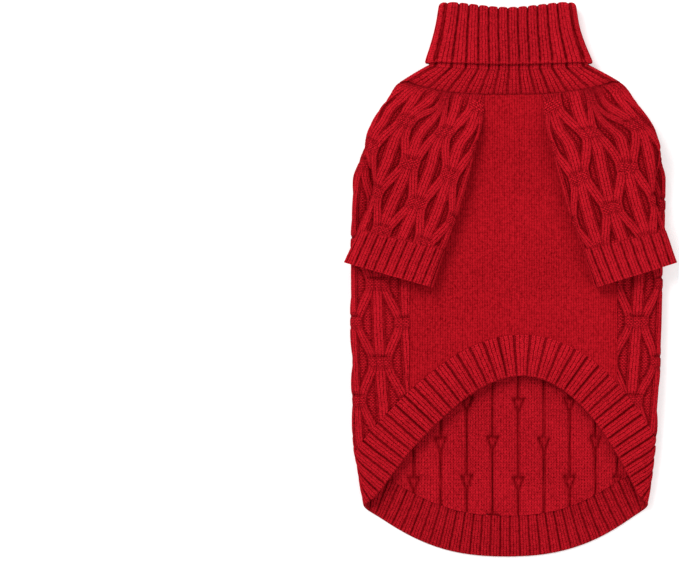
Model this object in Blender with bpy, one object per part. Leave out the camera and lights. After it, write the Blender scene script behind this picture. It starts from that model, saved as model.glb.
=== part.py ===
"""A turtleneck dog sweater in red knit, laid flat with its belly side up.

The body is a flattened tube: the patterned back panel lies underneath and comes round both sides, and the
plain belly panel closes it on top. Two short raglan sleeves lie on it, each with a ribbed cuff. A ribbed
band goes round the arched hem, and a ribbed collar stands on a flared yoke and is turned down once.

Sizes are in millimetres until a mesh is made. X is across, Y runs from the hem's lowest point to the neck,
and Z is up from the surface that the sweater lies on. Each piece is an outer face thickened inwards.
"""

import bmesh
import bpy
import numpy as np
from mathutils import Matrix, Vector

MM = 0.001  # metres in a millimetre
SEAM = 0.3  # gap between two pieces that are sewn together

NECK_GAP = 0.65  # the same at the neck, where the cloth turns three ways

BACK_WALL = 3.6  # gathered rib knit
BELLY_WALL = 2.0  # plain knit
SLEEVE_WALL = 3.2
RIB_WALL = 2.6  # collar, hem band and cuffs

# The body tube, one row for each cross-section: its half width across, and how thick it lies.
BODY = {
    "y": (0, 38, 60, 90, 130, 170, 210, 265, 290, 305, 320, 335, 348, 358, 368),
    "half_width": (105.5, 106, 109.5, 112.8, 115, 116.4, 117.3, 117.1, 115.2, 108.5, 99.5, 92.5, 86.5, 80.4,
                   70),
    "thickness": (11.5, 12, 13.5, 15, 15, 15, 15, 15, 15, 15, 15, 15, 15, 15, 15),
}
BODY_REACH = 7.0  # how far the rows above are smoothed into each other
BELLY_SAG = 1.6  # how far the top layer sinks between the two side folds
BELLY_DROP = 1.2  # the thin belly panel lies this much under the thick side strips

HEM_GIRTH = 240.0  # half the way round the body at the hem
HEM_CORNER = (105.8, 38.6)  # where the hem turns over the side fold, from the body's middle
HEM_BACK_POWER = 2.4
ARCH_TOP = 137.0  # the open edge's highest point on the belly side
ARCH_RISE = 102.0
ARCH_HALF_SPAN = 103.0
ARCH_LEAN = 11.0
ARCH_POWER = 1.9
BAND_WIDTH = 31.0

BELLY_SHIFT = 5.0  # the belly panel lies this far to the right of the body's middle
BELLY_HALF_WIDTH = 77.5

NECK_SEAM_BACK = 336.4  # height of the collar's seam at the middle of the back
NECK_SEAM_BELLY = 347.6
NECK_SEAM_SIDE = 358.0
NECK_HALF_WIDTH = 79.8

# A sleeve, one row for each cross-section from the collar's seam to the open cuff: its inner and outer folds.
SLEEVE = {
    "row": (0, 1, 2, 3, 4, 5, 6),
    "inner_x": (16.5, 24, 30, 35.5, 42, 51, 60),
    "inner_y": (347, 322, 300, 276, 254, 231.5, 202.5),
    "outer_x": (80.0, 100.5, 110.5, 101.5, 106, 113.5, 124.5),
    "outer_y": (357, 334, 307, 283, 263, 246.5, 221.5),
}
SLEEVE_REACH = 0.5
ARMPIT_ROW = 3.0
CUFF_ROW = 5.0
OPEN_ROW = 6.0
INNER_SHIFT = 4.5  # both sleeves lie a little to the right, as the belly panel does
OUTER_SHIFT = 2.6
FOLD_RADIUS = (4.6, 6.6)  # of a sleeve's side folds, at the collar and from the armpit on
FOLD_READY_ROW = 1.6  # the folds are turned right under from this row on
SLEEVE_LIFT = 0.5  # the sleeve's underside lies this far above the body
CROSSING_ROWS = (0.8, 1.9)  # where the sleeve's back seam comes round the body's side fold
BACK_TUCK = 4.0  # how far the back panel stops short of the side fold at the collar
SLEEVE_DROOP = 0.32  # how far the cuff sinks past the body's edge, for each millimetre out

# The turned-down collar, one row for each cross-section of its outer face, and how it is folded.
COLLAR = {
    "y": (356, 371, 385, 398, 412),
    "half_width": (64.5, 62.3, 57.8, 54.2, 52.0),
}
COLLAR_MIDDLE = 0.4
NECK_HOLLOW = 6.4  # open height inside the neck
COLLAR_GAP = 1.0  # between the standing and the turned-down layer
TURN_TOP = {"belly": 410.5, "side": 415.0, "back": 403.0}
TURN_EDGE = {"belly": 368.3, "side": 371.0, "back": 359.6}
STAND_FOOT = {"belly": 366.0, "side": 368.0, "back": 357.0}

# Columns and rows of each piece's grid.
BACK_GRID = (48, 18)
BELLY_GRID = (8, 12)
BAND_ROWS = 5
COLLAR_GRID = (40, 14)
SLEEVE_GRID = (30, 11)
CUFF_ROWS = 2

RED = (0.42, 0.012, 0.02, 1.0)


# The cloth lies wider than its even form at the right shoulder and at the left flank, by this much at y.
FULLNESS = {
    "y": (20, 38, 45, 68, 78, 90, 113, 143, 208, 223, 243, 268, 286, 303, 348, 360, 364, 370, 376),
    "right": (0, 0, 0, 0, 0, 0, 0, 0, 0, 0, 1.5, 2.4, 4.5, 5.8, 5.8, 5.5, 4, 0.5, 0),
    "left": (0, 1.2, 2, 2.2, 3.4, 3.6, 2.4, 1.8, 0.6, 0.5, 0, 0, 0, 0, 0, 0, 0, 0, 0),
}
FULLNESS_REACH = 4.0


def eased(x):
    """0 up to 0, 1 from 1 on, and a smooth step between."""
    x = np.clip(x, 0.0, 1.0)
    return x * x * (3.0 - 2.0 * x)


def read(table, column, at, reach):
    """A table's column at a place, with its corners rounded over a reach on each side."""
    places, values = (np.array(table[key], float) for key in (next(iter(table)), column))
    places = np.concatenate([[2 * places[0] - places[1]], places, [2 * places[-1] - places[-2]]])
    values = np.concatenate([[2 * values[0] - values[1]], values, [2 * values[-1] - values[-2]]])
    around = np.asarray(at, float)[..., None] + reach * np.linspace(-1, 1, 9)
    return np.interp(around, places, values).mean(-1)


def body_row(y):
    """Length of the flat half and side fold's radius of the body tube at a height y."""
    half_width, thickness = (read(BODY, key, y, BODY_REACH) for key in tuple(BODY)[1:])
    return half_width - thickness / 2, thickness / 2


def half_girth(y):
    flat, radius = body_row(y)
    return 2 * flat + np.pi * radius


def top_sag(over, y):
    """How far the top layer sinks at a distance in from the side fold."""
    return BELLY_SAG * eased(over / 18.0) * eased((y - 40.0) / 60.0)


def body_point(u, y, inset=0.0):
    """A point of the body tube's outer face. u is the way round from the middle of the back, which lies
    underneath: to the right if positive, over the side fold and back to the middle on the belly side."""
    flat, radius = body_row(y)
    girth = 2 * flat + np.pi * radius
    u = (u + girth) % (2 * girth) - girth
    way = np.abs(u)
    turn = np.clip((way - flat) / radius, 0, np.pi)
    over = np.clip(way - flat - np.pi * radius, 0, None)
    across = np.minimum(way, flat) + (radius - inset) * np.sin(turn) - over
    z = radius - (radius - inset) * np.cos(turn) - top_sag(over, y)
    return np.stack([np.sign(u) * across, y + 0 * u, z], -1)


def belly_u(x, y):
    """The way round to a point of the belly side that lies at x."""
    side = np.where(np.asarray(x) >= 0, 1.0, -1.0)
    return side * (half_girth(y) - np.abs(x))


def hem_loop(count=721):
    """The hem's open edge as (w, y), all the way round from the belly's middle and back to it. w is the way
    round from the back's middle, drawn to the girth HEM_GIRTH at every height."""
    span, corner_y = HEM_CORNER
    back_x = np.linspace(-0.93, 0.93, count) * span
    back_y = corner_y * np.abs(back_x / span) ** HEM_BACK_POWER
    back = np.stack([back_x * HEM_GIRTH / half_girth(back_y), back_y], -1)
    share = np.linspace(0, 0.95, count)
    sides = []
    for side in (-1.0, 1.0):
        x = side * ARCH_HALF_SPAN * share + ARCH_LEAN * (1 - share**2)
        y = ARCH_TOP - ARCH_RISE * share**ARCH_POWER
        sides.append(np.stack([side * HEM_GIRTH - x * HEM_GIRTH / half_girth(y), y], -1))
    loop = np.concatenate([sides[0], back, sides[1][::-1]])
    return evenly(loop, count)


def evenly(line, count):
    """The same line with its points evenly spaced."""
    steps = np.concatenate([[0], np.cumsum(np.linalg.norm(np.diff(line, axis=0), axis=1))])
    at = np.linspace(0, steps[-1], count)
    return np.stack([np.interp(at, steps, line[:, 0]), np.interp(at, steps, line[:, 1])], -1)


def round_and_round(line):
    """The loop with a copy of itself on each side, so that its two ends are treated as one place."""
    period = np.array([2 * HEM_GIRTH, 0])
    return np.concatenate([line[:-1] - period, line, line[1:] + period])


def rounded(line, passes):
    """The loop with its corners worn round."""
    for _ in range(passes):
        wide = round_and_round(line)[len(line) - 2 : 2 * len(line)]
        line = (wide[:-2] + 2 * wide[1:-1] + wide[2:]) / 4
    return line


HEM_EDGE = rounded(hem_loop(), 160)


def band_line(width):
    """The line that runs beside the hem's open edge, this far up the cloth."""
    slope = np.gradient(round_and_round(HEM_EDGE), axis=0)[len(HEM_EDGE) - 1 : 2 * len(HEM_EDGE) - 1]
    normal = np.stack([-slope[:, 1], slope[:, 0]], -1) / np.linalg.norm(slope, axis=1)[:, None]
    return HEM_EDGE + width * normal


def band_top(u, y):
    """Height of the hem band's seam at a way round u."""
    line = round_and_round(band_line(BAND_WIDTH + 2 * SEAM))
    return np.interp(u * HEM_GIRTH / half_girth(y), line[:, 0], line[:, 1])


def neck_seam(u, y):
    """Height of the collar's seam at a way round u."""
    flat, radius = body_row(NECK_SEAM_SIDE)
    way = np.abs(u)
    back = NECK_SEAM_BACK + (NECK_SEAM_SIDE - NECK_SEAM_BACK - 1.5) * np.clip(way / flat, 0, 1) ** 2
    x = np.clip(2 * flat + np.pi * radius - way, 0, flat)
    belly = NECK_SEAM_BELLY + (NECK_SEAM_SIDE - NECK_SEAM_BELLY - 1.0) * (x / flat) ** 2
    return back + (belly - back) * eased((way - flat + 4) / (np.pi * radius + 8))


def sleeve_folds(row, side):
    """Plan places of a sleeve's inner and outer fold at a cross-section."""
    inner_x, inner_y, outer_x, outer_y = (read(SLEEVE, key, row, SLEEVE_REACH) for key in tuple(SLEEVE)[1:])
    inner = np.stack([side * inner_x + INNER_SHIFT, inner_y], -1)
    outer = np.stack([side * outer_x + OUTER_SHIFT * eased((row - 1.5) / 1.5), outer_y], -1)
    return inner, outer


def lying_height(x, y):
    """Height of the body's top under a sleeve, with the droop past the body's edge."""
    flat, radius = body_row(y)
    past = np.abs(x) - flat
    return 2 * radius - top_sag(-past, y) - SLEEVE_DROOP * np.clip(past - 2, 0, None)


def sleeve_ends(row, side):
    """Where a cross-section begins on the belly side and ends on the back panel: shares of its width, the
    heights there, the turn reached on the body's side fold, and the inner fold's radius and angle."""
    inner, outer = sleeve_folds(row, side)
    width = np.linalg.norm(outer - inner, axis=-1)
    flat, fold = body_row(outer[..., 1])
    radius = FOLD_RADIUS[0] + (FOLD_RADIUS[1] - FOLD_RADIUS[0]) * eased(row / ARMPIT_ROW)
    angle = np.pi * (0.02 + 0.98 * eased(row / FOLD_READY_ROW))
    meet = 0.5 - SEAM / 2 / width
    start = (radius - radius * np.sin(angle)) / width
    start = start + (meet - start) * eased((row - 1.1) / (ARMPIT_ROW - 1.1))
    turn = np.pi * eased((row - CROSSING_ROWS[0]) / (CROSSING_ROWS[1] - CROSSING_ROWS[0]))
    at_collar = body_row(NECK_SEAM_SIDE)[0] - BACK_TUCK
    reach = at_collar + (flat + fold * np.sin(turn) - at_collar) * eased(row / CROSSING_ROWS[1])
    finish = (side * -inner[..., 0] + reach) / np.abs(outer[..., 0] - inner[..., 0])
    finish = finish + (1 - meet - finish) * eased((row - CROSSING_ROWS[1]) / (ARMPIT_ROW - CROSSING_ROWS[1]))
    begin = inner + start[..., None] * (outer - inner)
    end = inner + finish[..., None] * (outer - inner)
    lift = SLEEVE_LIFT * eased(row / 1.2)
    on_top = lying_height(end[..., 0], end[..., 1])
    heights = lying_height(begin[..., 0], begin[..., 1]) + lift, on_top * (1 - np.cos(turn)) / 2 + lift
    return inner, outer, width, start, finish, heights, turn, radius, angle


def sleeve_point(across, row, side):
    """A point of a sleeve's outer face, from the belly seam, round its inner fold, over the top and round its
    outer fold to the back seam. Above the armpit it is open underneath, for the leg to pass."""
    inner, outer, width, start, finish, (low, high), turn, radius, angle = sleeve_ends(row, side)
    at_outer = lying_height(outer[:, 0], outer[:, 1])
    crest = at_outer + (SLEEVE_LIFT + 2 * FOLD_RADIUS[1]) * eased(row / 1.4)
    outer_radius = (crest - high) / 2
    curl = radius - radius * np.sin(np.minimum(angle, np.pi))
    under_in = np.clip(start * width - curl, 0, None)
    under_out = np.clip(width - outer_radius - finish * width, 0, None)
    arc_in, arc_out = radius * angle, outer_radius * np.pi
    lengths = (under_in, arc_in, width - radius - outer_radius, arc_out, under_out)
    way = (across + 1) / 2 * sum(lengths)
    parts = []
    for length in lengths:
        parts.append(np.clip(way, 0, length))
        way = way - length
    turned_in = angle - parts[1] / radius
    turned_out = parts[3] / outer_radius
    reach = np.where(
        parts[2] + parts[3] > 0,
        radius + parts[2] + outer_radius * np.sin(turned_out) - parts[4],
        np.where(parts[1] > 0, radius - radius * np.sin(turned_in), curl + under_in - parts[0]),
    )
    share = reach / width
    plan = inner + share[:, None] * (outer - inner)
    stacked = eased((row - CROSSING_ROWS[1]) / 0.5)
    lying = lying_height(plan[:, 0], plan[:, 1]) + SLEEVE_LIFT * eased(row / 1.2)
    low, high = lying, high + (lying - high) * stacked
    rise_in = low + radius * (np.cos(turned_in) - np.cos(angle))
    rise_out = high + outer_radius * (1 + np.cos(turned_out))
    blend = eased(parts[2] / lengths[2])
    height = rise_in + (rise_out - rise_in) * blend
    round_in, round_out = parts[2] <= 0, parts[3] > 0
    turned = np.where(round_in, -turned_in, np.where(round_out, turned_out, 0))
    turned = np.where(parts[1] <= 0, -angle, turned)
    outwards = side * np.sin(turned)
    inward = -np.stack([outwards, 0 * outwards, np.cos(turned)], -1)
    # The top edge follows the collar's seam.
    flat, fold = body_row(plan[:, 1])
    across_body = np.abs(plan[:, 0])
    round_fold = np.minimum(across_body, flat) + fold * np.arcsin(np.clip((across_body - flat) / fold, 0, 1))
    seam_u = np.where(turned_out < np.pi / 2, 2 * flat + np.pi * fold - round_fold, round_fold)
    plan[:, 1] += (neck_seam(seam_u, 0) - NECK_GAP - plan[:, 1]) * (1 - eased(row / 1.2))
    return np.concatenate([plan, height[:, None]], -1), inward


def armhole(side, edge):
    """An armhole's edge: each height y with the way round u, on the belly panel or on the back panel."""
    row = np.linspace(0, ARMPIT_ROW, 121)
    x, y, _ = sleeve_point(np.full_like(row, -1 if edge == "belly" else 1), row, side)[0].T
    turn = sleeve_ends(row, side)[6]
    flat, fold = body_row(y)
    u = 2 * flat + np.pi * fold - np.abs(x)
    if edge == "back":
        round_fold = np.abs(x) + fold * (turn - np.sin(turn))
        u = np.where(turn < np.pi, round_fold, np.maximum(u, flat + np.pi * fold))
    return np.stack([y, u], -1)[::-1]


ARMHOLES = {(side, edge): armhole(side, edge) for side in (-1, 1) for edge in ("belly", "back")}


def panel_edge(y, side, edge):
    """The way round to a panel's edge: at the side seam, and above the armpit at the armhole."""
    line = ARMHOLES[side, edge]
    seam = half_girth(y) - np.abs(side * BELLY_HALF_WIDTH + BELLY_SHIFT)
    low_y, low_u = line[0]
    below = low_u + (seam - low_u) * eased((low_y - y) / 32.0)
    u = np.where(y < low_y, below, np.interp(y, line[:, 0], line[:, 1]))
    return u + (-7 * SEAM if edge == "back" else SEAM)


def settle(u_of, y_low, y_high, along):
    """Solves for the points of a panel whose sides depend on y and whose ends depend on u."""
    y = y_low(0 * along, 0) * (1 - along) + y_high(0 * along, 0) * along
    for _ in range(60):
        u = u_of(y)
        aim = y_low(u, y) * (1 - along) + y_high(u, y) * along
        y = (y + aim) / 2
    return u_of(y), y


def back_layout(across, along):
    """The back panel's (u, y): flat underneath, round both side folds, and a strip on the belly side."""

    def u_of(y):
        flat, radius = body_row(y)
        end = np.where(across >= 0, panel_edge(y, 1, "back"), panel_edge(y, -1, "back"))
        fold_start, fold_end = np.minimum(flat, 0.8 * end), np.minimum(flat + np.pi * radius, 0.96 * end)
        share = np.abs(across)
        stretches = ((0.0, 0.42, fold_start), (0.42, 0.83, fold_end - fold_start), (0.83, 1.0, end - fold_end))
        way = sum(np.clip((share - a) / (b - a), 0, 1) * length for a, b, length in stretches)
        return np.where(across >= 0, way, -way)

    along = 1 - (1 - along) ** 1.8  # rows lie closer together at the shoulders
    return settle(u_of, band_top, lambda u, y: neck_seam(u, y) - 1.6 * NECK_GAP, along)


def belly_layout(across, along):
    """The belly panel's (u, y), from the hem band to the collar, between side seams and armholes."""

    def u_of(y):
        girth = half_girth(y)
        left, right = 2 * girth - panel_edge(y, -1, "belly"), panel_edge(y, 1, "belly")
        return left + (right - left) * (across + 1) / 2

    def signed(u, y):
        return np.where(u > half_girth(y), u - 2 * half_girth(y), u)

    u, y = settle(
        u_of,
        lambda u, y: band_top(signed(u, y), y),
        lambda u, y: neck_seam(signed(u, y), y) - NECK_GAP,
        along,
    )
    return signed(u, y), y


def band_places():
    """Places round the hem loop that face the columns of both panels, from the left side seam on."""
    columns = (back_layout, 1, BACK_GRID[0] + 1), (belly_layout, -1, BELLY_GRID[0] + 1)
    turns = []
    for layout, way, count in columns:
        u, y = layout(way * np.linspace(-1, 1, count), np.zeros(count))
        turns.append(u * HEM_GIRTH / half_girth(y))
    turns[1] = np.where(turns[1] < 0, turns[1] + 2 * HEM_GIRTH, turns[1])[1:-1]
    top = round_and_round(band_line(BAND_WIDTH + 2 * SEAM))
    place = np.interp(np.concatenate(turns), top[:, 0], np.linspace(-1, 2, len(top)))
    return np.append(place, place[0] + 1 - SEAM / 700)


BAND_PLACES = band_places()


def body_surface(u, y):
    """Points of the body's outer face, and the unit vectors that point inwards from them."""
    outer = body_point(u, y)
    return outer, body_point(u, y, inset=1.0) - outer


def back_surface(across, along):
    return body_surface(*back_layout(across, along))


def belly_surface(across, along):
    outer, inward = body_surface(*belly_layout(across, along))
    return outer - np.array([0, 0, BELLY_DROP]), inward


def band_surface(across, along):
    """The hem band, from its open edge up to its seam, cut at the left side seam."""
    columns = np.linspace(-1, 1, len(BAND_PLACES))
    place = np.interp(across, columns, BAND_PLACES)
    low, high = (round_and_round(line) for line in (HEM_EDGE, band_line(BAND_WIDTH)))
    at = np.linspace(-1, 2, len(low))
    w, y = (
        np.interp(place, at, low[:, k]) * (1 - along) + np.interp(place, at, high[:, k]) * along for k in (0, 1)
    )
    return body_surface(w * half_girth(y) / HEM_GIRTH, y)


def sleeve_surface(side, first_row, last_row, gap=0.0):
    """Surface function of a sleeve between two rows, moved down the sleeve by the seam's gap."""

    def surface(across, along):
        row = first_row + (last_row - first_row) * along**1.5  # rows lie closer together at the collar
        point, inward = sleeve_point(across, row, side)
        return point + gap * np.array([side * 0.26, -0.966, 0]), inward

    return surface


def by_side(table, way_share):
    """A value that changes from the back's middle (share 0) by the side (0.5) to the belly's middle (1)."""
    share = np.abs(way_share)
    rise = eased(share / 0.5)
    fall = eased((share - 0.5) / 0.5)
    return table["back"] + (table["side"] - table["back"]) * rise + (table["belly"] - table["side"]) * fall


def ring_way(share, flat, radius):
    """The way round a flattened ring, whose flats hold three tenths of each half's columns and whose fold the
    rest."""
    share = np.abs(share)
    flats = np.clip(share / 0.3, 0, 1) + np.clip((share - 0.7) / 0.3, 0, 1)
    return flat * flats + np.pi * radius * np.clip((share - 0.3) / 0.4, 0, 1)


def ring_point(share, half_width, half_height, y):
    """A point of the flattened neck tube. share runs from -1 to 1, both at the belly's middle."""
    flat = half_width - half_height
    way = ring_way(share, flat, half_height)
    turn = np.clip((way - flat) / half_height, 0, np.pi)
    over = np.clip(way - flat - np.pi * half_height, 0, None)
    across = np.minimum(way, flat) + half_height * np.sin(turn) - over
    middle_z = RIB_WALL * 2 + COLLAR_GAP + NECK_HOLLOW / 2
    return np.stack([COLLAR_MIDDLE + np.sign(share) * across, y, middle_z - half_height * np.cos(turn)], -1)


def neck_seam_point(share):
    """A point of the collar's seam, on its inner face."""
    y = np.full_like(share, NECK_SEAM_SIDE)
    for _ in range(30):
        flat, radius = body_row(y)
        u = np.sign(share) * ring_way(share, flat, radius)
        y = neck_seam(u, y)
    return body_surface(u, y)


def collar_points(across, along):
    """The collar's inner face, turned out at the top: yoke, standing part, turn and turned-down part."""
    share = ((across + 1) * (1 - 0.0008) + 0.93) % 2 - 1  # cut a little left of the belly's middle
    wall, gap = RIB_WALL, COLLAR_GAP
    bend = wall + gap / 2  # radius of the turn's outer face
    foot, top, edge = (by_side(table, share) for table in (STAND_FOOT, TURN_TOP, TURN_EDGE))
    yoke, stand, turn = 0.2, 0.5, 0.66  # shares of the way along at which each part ends
    up = np.clip((along - yoke) / (stand - yoke), 0, 1)
    bent = np.clip((along - stand) / (turn - stand), 0, 1) * np.pi
    down = np.clip((along - turn) / (1 - turn), 0, 1)
    y = foot + (top - bend - foot) * up + bend * np.sin(bent) - (top - bend - edge) * down
    out = bend * (1 - np.cos(bent))
    half_width = read(COLLAR, "half_width", y, 6.0) - 2 * bend + out
    half_height = NECK_HOLLOW / 2 + out
    ring = ring_point(share, half_width, half_height, y)
    flare = 1 - eased(along / yoke)[:, None]
    seam, inward = neck_seam_point(share)
    return ring + (seam + RIB_WALL * inward - ring) * flare, inward, flare


def collar_surface(across, along):
    """The same points, with the unit vectors that point from the inner face back to the outer one."""
    point, inward, flare = collar_points(across, along)
    step = 0.002
    left, right = (collar_points(across + k, along)[0] for k in (-step, step))
    low, high = (collar_points(across, np.clip(along + k, 0, 1))[0] for k in (-step, step))
    normal = np.cross(right - left, high - low)
    normal = normal / np.linalg.norm(normal, axis=1)[:, None]
    normal = normal + (inward - normal) * flare
    return point, -normal / np.linalg.norm(normal, axis=1)[:, None]


def knit_material(name, roughness=0.9):
    material = bpy.data.materials.new(name)
    material.use_nodes = True
    shader = material.node_tree.nodes["Principled BSDF"]
    shader.inputs["Base Color"].default_value = RED
    shader.inputs["Roughness"].default_value = roughness
    shader.inputs["Metallic"].default_value = 0.0
    return material


def spread(points):
    """Moves points outwards where the cloth lies wider."""
    x = points[:, 0]
    right, left = (read(FULLNESS, key, points[:, 1], FULLNESS_REACH) for key in ("right", "left"))
    wider = right * eased((x - 35) / 60) - left * eased((-x - 40) / 60)
    return points + np.stack([wider, 0 * x, 0 * x], -1)


def cloth(name, surface, cells, wall, collection):
    """A cloth wall: an open grid laid on a surface, then extruded through the cloth's thickness."""
    grid = bmesh.new()
    bmesh.ops.create_grid(grid, x_segments=cells[0], y_segments=cells[1], size=1.0)
    place = np.array([v.co[:2] for v in grid.verts], float)
    across, along = place[:, 0], (place[:, 1] + 1) / 2
    outer, through = surface(across, along)
    outer, inner = spread(outer), spread(outer + wall * through)
    laid = list(grid.verts)
    extruded = bmesh.ops.extrude_face_region(grid, geom=list(grid.faces), use_keep_orig=True)
    copies = [item for item in extruded["geom"] if isinstance(item, bmesh.types.BMVert)]
    kept = {tuple(v.co[:2]): k for k, v in enumerate(laid)}
    for copy in copies:
        copy.co = inner[kept[tuple(copy.co[:2])]] * MM
    for vertex, point in zip(laid, outer):
        vertex.co = point * MM
    bmesh.ops.recalc_face_normals(grid, faces=list(grid.faces))
    if grid.calc_volume(signed=True) < 0:
        bmesh.ops.reverse_faces(grid, faces=list(grid.faces))
    mesh = bpy.data.meshes.new(name)
    grid.to_mesh(mesh)
    grid.free()
    mesh.materials.append(knit_material(name + "_knit"))
    mesh.shade_smooth()
    piece = bpy.data.objects.new(name, mesh)
    collection.objects.link(piece)
    return piece


def centre(collection):
    """Moves the meshes so that the middle of the sweater's underside is the origin."""
    boxes = [[piece.matrix_world @ Vector(c) for c in piece.bound_box] for piece in collection.objects]
    corners = np.array(boxes).reshape(-1, 3)
    middle = (corners.min(axis=0) + corners.max(axis=0)) / 2
    shift = Matrix.Translation((-middle[0], -middle[1], -corners[:, 2].min()))
    for piece in collection.objects:
        piece.data.transform(shift)


def main():
    for leftover in list(bpy.data.objects):
        bpy.data.objects.remove(leftover)
    sweater = bpy.data.collections.new("dog_sweater")
    bpy.context.scene.collection.children.link(sweater)
    cloth("back_panel", back_surface, BACK_GRID, BACK_WALL, sweater)
    cloth("belly_panel", belly_surface, BELLY_GRID, BELLY_WALL, sweater)
    cloth("hem_band", band_surface, (len(BAND_PLACES) - 1, BAND_ROWS), RIB_WALL, sweater)
    cloth("collar", collar_surface, COLLAR_GRID, RIB_WALL, sweater)
    for side, name in ((-1, "left"), (1, "right")):
        sleeve = sleeve_surface(side, 0, CUFF_ROW)
        cuff = sleeve_surface(side, CUFF_ROW, OPEN_ROW, gap=1.5 * SEAM)
        cloth("sleeve_" + name, sleeve, SLEEVE_GRID, SLEEVE_WALL, sweater)
        cloth("cuff_" + name, cuff, (SLEEVE_GRID[0], CUFF_ROWS), RIB_WALL, sweater)
    centre(sweater)


main()
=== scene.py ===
"""The looks of a red knitted dog sweater that lies flat, belly side up.

Each knitted piece is a fine grid laid on the form of its CAD solid and extruded through the cloth, with the
ribs, the gathered lantern pattern and its knots as real relief on both faces. One node group knits the
stitches. Sizes are in millimetres until a mesh is made; Y runs from the hem's lowest point to the neck.
"""

import bmesh
import bpy
import numpy as np
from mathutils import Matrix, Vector


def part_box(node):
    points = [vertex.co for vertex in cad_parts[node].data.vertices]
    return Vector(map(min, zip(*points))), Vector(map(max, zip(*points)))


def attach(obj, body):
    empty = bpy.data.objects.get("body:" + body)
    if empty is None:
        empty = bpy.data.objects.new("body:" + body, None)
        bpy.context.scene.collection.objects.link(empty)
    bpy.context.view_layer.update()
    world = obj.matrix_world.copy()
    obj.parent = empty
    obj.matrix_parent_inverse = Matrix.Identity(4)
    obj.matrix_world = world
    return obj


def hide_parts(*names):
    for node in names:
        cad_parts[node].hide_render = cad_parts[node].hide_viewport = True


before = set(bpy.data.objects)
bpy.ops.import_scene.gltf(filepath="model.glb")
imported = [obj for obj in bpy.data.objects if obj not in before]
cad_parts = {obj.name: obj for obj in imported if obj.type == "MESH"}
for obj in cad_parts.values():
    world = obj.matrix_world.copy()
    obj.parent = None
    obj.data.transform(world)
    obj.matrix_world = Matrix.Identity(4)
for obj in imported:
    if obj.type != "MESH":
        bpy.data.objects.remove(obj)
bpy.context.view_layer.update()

MM = 0.001  # metres in a millimetre
SEAM = 0.04  # gap between two pieces that are sewn together
NECK_GAP = 0.03  # the same at the collar's seam

BACK_WALL = 3.6  # thickness of the cloth
BELLY_WALL = 2.0
SLEEVE_WALL = 3.2
RIB_WALL = 2.6  # of the collar, the hem band and the cuffs

# The body tube, one row for each cross-section: its half width across, and how thick it lies.
BODY = {
    "y": (0, 38, 60, 90, 130, 170, 210, 265, 290, 305, 320, 335, 348, 358, 368),
    "half_width": (
        105.5, 106, 109.5, 112.8, 115, 116.4, 117.3, 117.1, 115.2, 108.5, 99.5, 92.5, 86.5, 80.4, 70,
    ),
    "thickness": (11.5, 12, 13.5, 15, 15, 15, 15, 15, 15, 15, 15, 15, 15, 15, 15),
}
BODY_REACH = 7.0  # the table's corners are rounded over this much
BELLY_SAG = 1.6  # how far the top layer sinks between the side folds
BELLY_DROP = 1.2  # the thin belly panel lies this much lower than the thick knit beside it

HEM_GIRTH = 240.0  # half girth that the hem's outline is drawn to
HEM_CORNER = (105.8, 38.6)  # where the back's curve meets the arch: half width and height
HEM_BACK_POWER = 2.4
ARCH_TOP = 137.0  # height of the arch on the belly side
ARCH_RISE = 102.0
ARCH_HALF_SPAN = 103.0
ARCH_LEAN = 11.0  # the arch's top lies this far to one side
ARCH_POWER = 1.9
HEM_ROUNDING = 160  # passes that wear the hem's corners round
BAND_WIDTH = 31.0

BELLY_SHIFT = 5.0  # the belly panel lies this far to one side
BELLY_HALF_WIDTH = 77.5
BELLY_NECK = 340.0  # a height near the collar's seam
BELLY_RIPPLE = 0.6  # height of the soft ripples of the belly
SEAM_MARGIN = 0.15  # the CAD belly panel ends half its wider seam gap short of the side seam

NECK_SEAM_BACK = 336.4  # height of the collar's seam at the middle of the back
NECK_SEAM_BELLY = 347.6
NECK_SEAM_SIDE = 358.0

# A sleeve, one row for each cross-section from the collar's seam to the open cuff: its inner and outer folds.
SLEEVE = {
    "row": (0, 1, 2, 3, 4, 5, 6),
    "inner_x": (16.5, 24, 30, 35.5, 42, 51, 60),
    "inner_y": (347, 322, 300, 276, 254, 231.5, 202.5),
    "outer_x": (78.0, 99.0, 110.5, 101.5, 106, 113.5, 124.5),
    "outer_y": (357, 334, 307, 283, 263, 246.5, 221.5),
}
SLEEVE_REACH = 0.5
ARMPIT_ROW = 3.0
CUFF_ROW = 5.0
OPEN_ROW = 6.0
INNER_SHIFT = 4.5  # both inner folds lie this far to the right
OUTER_SHIFT = 2.6  # and both outer folds this far
FOLD_RADIUS = (4.6, 6.6)  # of the inner fold, at the collar and at the armpit
FOLD_READY_ROW = 1.6  # where the inner fold has turned fully
SLEEVE_LIFT = 0.5  # the sleeve lies this much above the body
CROSSING_ROWS = (0.8, 1.9)  # between these the back seam turns round the body's side fold
BACK_TUCK = 4.0  # at the collar the back seam starts this far in from the end of the flat
SLEEVE_DROOP = 0.32  # slope of a sleeve past the body's edge
CUFF_LENGTH = 29.0

COLLAR = {
    "y": (356, 371, 385, 398, 412),
    "half_width": (65.7, 63.5, 58.2, 54.2, 52.0),
}
COLLAR_REACH = 6.0
COLLAR_MIDDLE = 0.4
COLLAR_LEAN = 0.9  # the collar's foot lies this far to the right
NECK_HOLLOW = 6.4  # height of the opening through the neck
COLLAR_GAP = 1.0  # between the stand and the turned-down part
COURSES_LENGTH = 125.0  # the collar's courses are counted over this length
EDGE_SCALE = 105.0  # near the cast-off edge, about this length stands for the whole way along
# Heights along the neck: the turn's top, the turned-down edge and the stand's foot.
TURN_TOP = {"belly": 412.6, "side": 416.5, "back": 403.0}
TURN_EDGE = {"belly": 369.6, "side": 371.0, "back": 359.6}
STAND_FOOT = {"belly": 366.0, "side": 368.0, "back": 357.0}

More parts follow.
